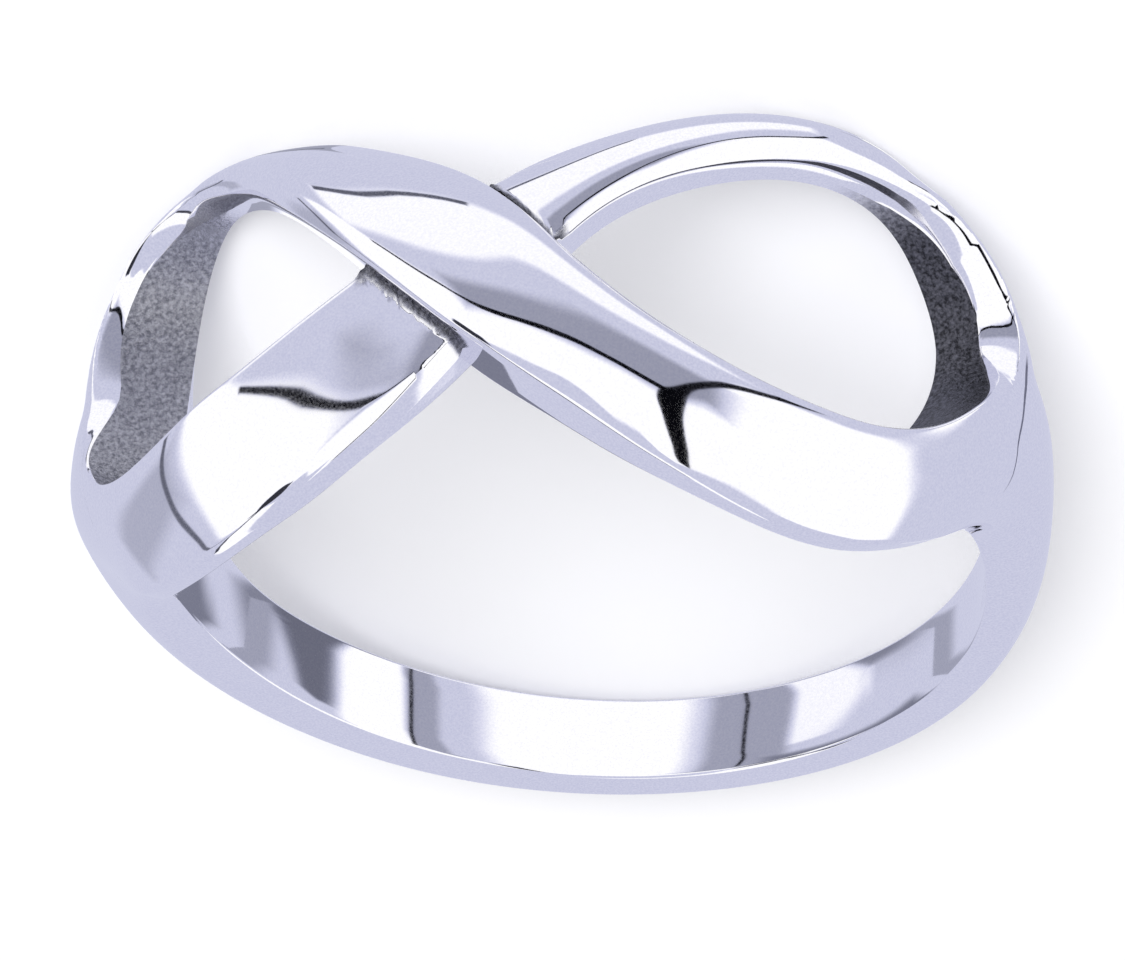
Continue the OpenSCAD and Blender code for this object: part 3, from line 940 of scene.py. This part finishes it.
world = bpy.data.worlds.new("studio")
bpy.context.scene.world = world
world.use_nodes = True
tree = world.node_tree
way = node(tree, "ShaderNodeTexCoord").outputs["Generated"]  # in a world, the direction looked in
parts = node(tree, "ShaderNodeSeparateXYZ", links={0: way})
rise_angle = node(tree, "ShaderNodeMath", {"operation": "ARCSINE"}, links={0: parts.outputs["Z"]})
height = node(tree, "ShaderNodeMath", {"operation": "DEGREES"}, links={0: rise_angle.outputs[0]})
tone = studio_tone(tree, PANELS, bearing_of(tree, parts), height.outputs[0])
studio = tree.nodes["Background"]
studio.inputs["Strength"].default_value = STUDIO_LIGHT
tree.links.new(tinted(tree, tone), studio.inputs["Color"])
# only the silver's reflections show the panels: the eye and the floor get a plain pale wall
plain = node(tree, "ShaderNodeBackground", None, {"Color": linear("#F4F4F6"), "Strength": 0.86})
mirrored = node(tree, "ShaderNodeLightPath").outputs["Is Glossy Ray"]
seen = node(tree, "ShaderNodeMixShader",
            links={0: mirrored, 1: plain.outputs[0], 2: studio.outputs[0]})
tree.links.new(seen.outputs[0], tree.nodes["World Output"].inputs["Surface"])
world.cycles.sampling_method = "NONE"

# The card stands round the inside of the finger hole and glows, though it is no lamp; only
# reflections show it, so it paints the reflections on the inside of the shank. It is a ring of
# upright faces, leant over as the ring is.
CARD_RADIUS, CARD_LOW, CARD_HIGH, CARD_SIDES = 8.2, -14.0, 7.0, 96
bearings = np.radians(np.linspace(0, 360, CARD_SIDES + 1)[:-1])
card_angle, card_height = np.meshgrid(bearings, [CARD_LOW, CARD_HIGH], indexing="ij")
card_points = np.stack([CARD_RADIUS * np.sin(card_angle), CARD_RADIUS * np.cos(card_angle),
                        card_height], -1).reshape(-1, 3) @ lean.T * MM
here = np.arange(CARD_SIDES) * 2
ahead = (here + 2) % (2 * CARD_SIDES)
card_faces = np.stack([here, ahead, ahead + 1, here + 1], -1)
card_mesh = bpy.data.meshes.new("inner_card")
card_mesh.from_pydata(card_points.tolist(), [], card_faces.tolist())
card = bpy.data.objects.new("inner_card", card_mesh)
bpy.context.scene.collection.objects.link(card)
card.visible_camera = card.visible_diffuse = False
card.visible_shadow = card.visible_transmission = False
painted_reflection = bpy.data.materials.new("painted_reflection_card")
painted_reflection.use_nodes = True
tree = painted_reflection.node_tree
tree.nodes.remove(tree.nodes["Principled BSDF"])
spot = node(tree, "ShaderNodeTexCoord").outputs["Object"]
parts = node(tree, "ShaderNodeSeparateXYZ", links={0: spot})
tenths = node(tree, "ShaderNodeMath", {"operation": "MULTIPLY"}, {1: 10 / MM},
              {0: parts.outputs["Z"]})
tone = studio_tone(tree, CARD_PANELS, bearing_of(tree, parts), tenths.outputs[0])
glow = node(tree, "ShaderNodeEmission", None, {"Strength": STUDIO_LIGHT},
            {"Color": tinted(tree, tone)})
# its outside lets reflections through
clear = node(tree, "ShaderNodeBsdfTransparent")
outer = node(tree, "ShaderNodeNewGeometry").outputs["Backfacing"]
seen = node(tree, "ShaderNodeMixShader", links={0: outer, 1: glow.outputs[0], 2: clear.outputs[0]})
tree.links.new(seen.outputs[0], tree.nodes["Material Output"].inputs["Surface"])
card_mesh.materials.append(painted_reflection)

# a wide soft light from above the front, which the mirror doesn't show
LAMP_TILT, LAMP_WAY, LAMP_SIZE, LAMP_POWER = 45, 0.42, 0.25, 1.1  # degrees, metres, watts
lamp_data = bpy.data.lights.new("soft_light", "AREA")
lamp_data.shape, lamp_data.size, lamp_data.energy = "DISK", LAMP_SIZE, LAMP_POWER
lamp = bpy.data.objects.new("soft_light", lamp_data)
lamp.visible_glossy = False
lamp.matrix_world = (Matrix.Rotation(np.radians(LAMP_TILT), 4, "X")
                     @ Matrix.Translation((0, 0, LAMP_WAY)))
bpy.context.scene.collection.objects.link(lamp)

# ---- camera -------------------------------------------------------------------------------

# The camera, from the photo: 57.85 degrees down from the finger axis towards the front, rolled
# and turned a little, and its way off and offsets in millimetres from the hole's middle.
VIEW_DOWN, VIEW_ROLL, VIEW_TURN = np.radians([57.85, -5.22, -17.0])
VIEW_WAY, VIEW_RIGHT, VIEW_UP = 98.41, 0.3671, -1.2537
PIXELS_PER_MM, PHOTO_WIDTH = 46.917, 1125  # of the photo, at the hole's middle
FILM = 36.0  # width of the camera's sensor, in millimetres
cr, sr, ce, se = np.cos(VIEW_ROLL), np.sin(VIEW_ROLL), np.cos(VIEW_DOWN), np.sin(VIEW_DOWN)
right = np.array([cr, -sr * ce, sr * se])
up = np.array([sr, cr * ce, -cr * se])
back = np.array([0, se, ce])
ct, st = np.cos(VIEW_TURN), np.sin(VIEW_TURN)
to_ring = np.array([[-ct, st, 0], [-st, -ct, 0], [0, 0, 1.0]])
spot = to_ring @ (-VIEW_RIGHT * right - VIEW_UP * up + VIEW_WAY * back) + [0, 0, REST_RISE]
axes = lean @ to_ring @ np.stack([right, up, back], 1)
camera_data = bpy.data.cameras.new("camera")
camera = bpy.data.objects.new("camera", camera_data)
camera.matrix_world = Matrix.Translation(lean @ spot * MM) @ Matrix(axes.tolist()).to_4x4()
camera_data.sensor_width = FILM
camera_data.lens = PIXELS_PER_MM * VIEW_WAY * FILM / PHOTO_WIDTH
camera_data.clip_start, camera_data.clip_end = 0.005, 10.0
bpy.context.scene.collection.objects.link(camera)
bpy.context.scene.camera = camera
bpy.context.scene.view_settings.view_transform = "Standard"
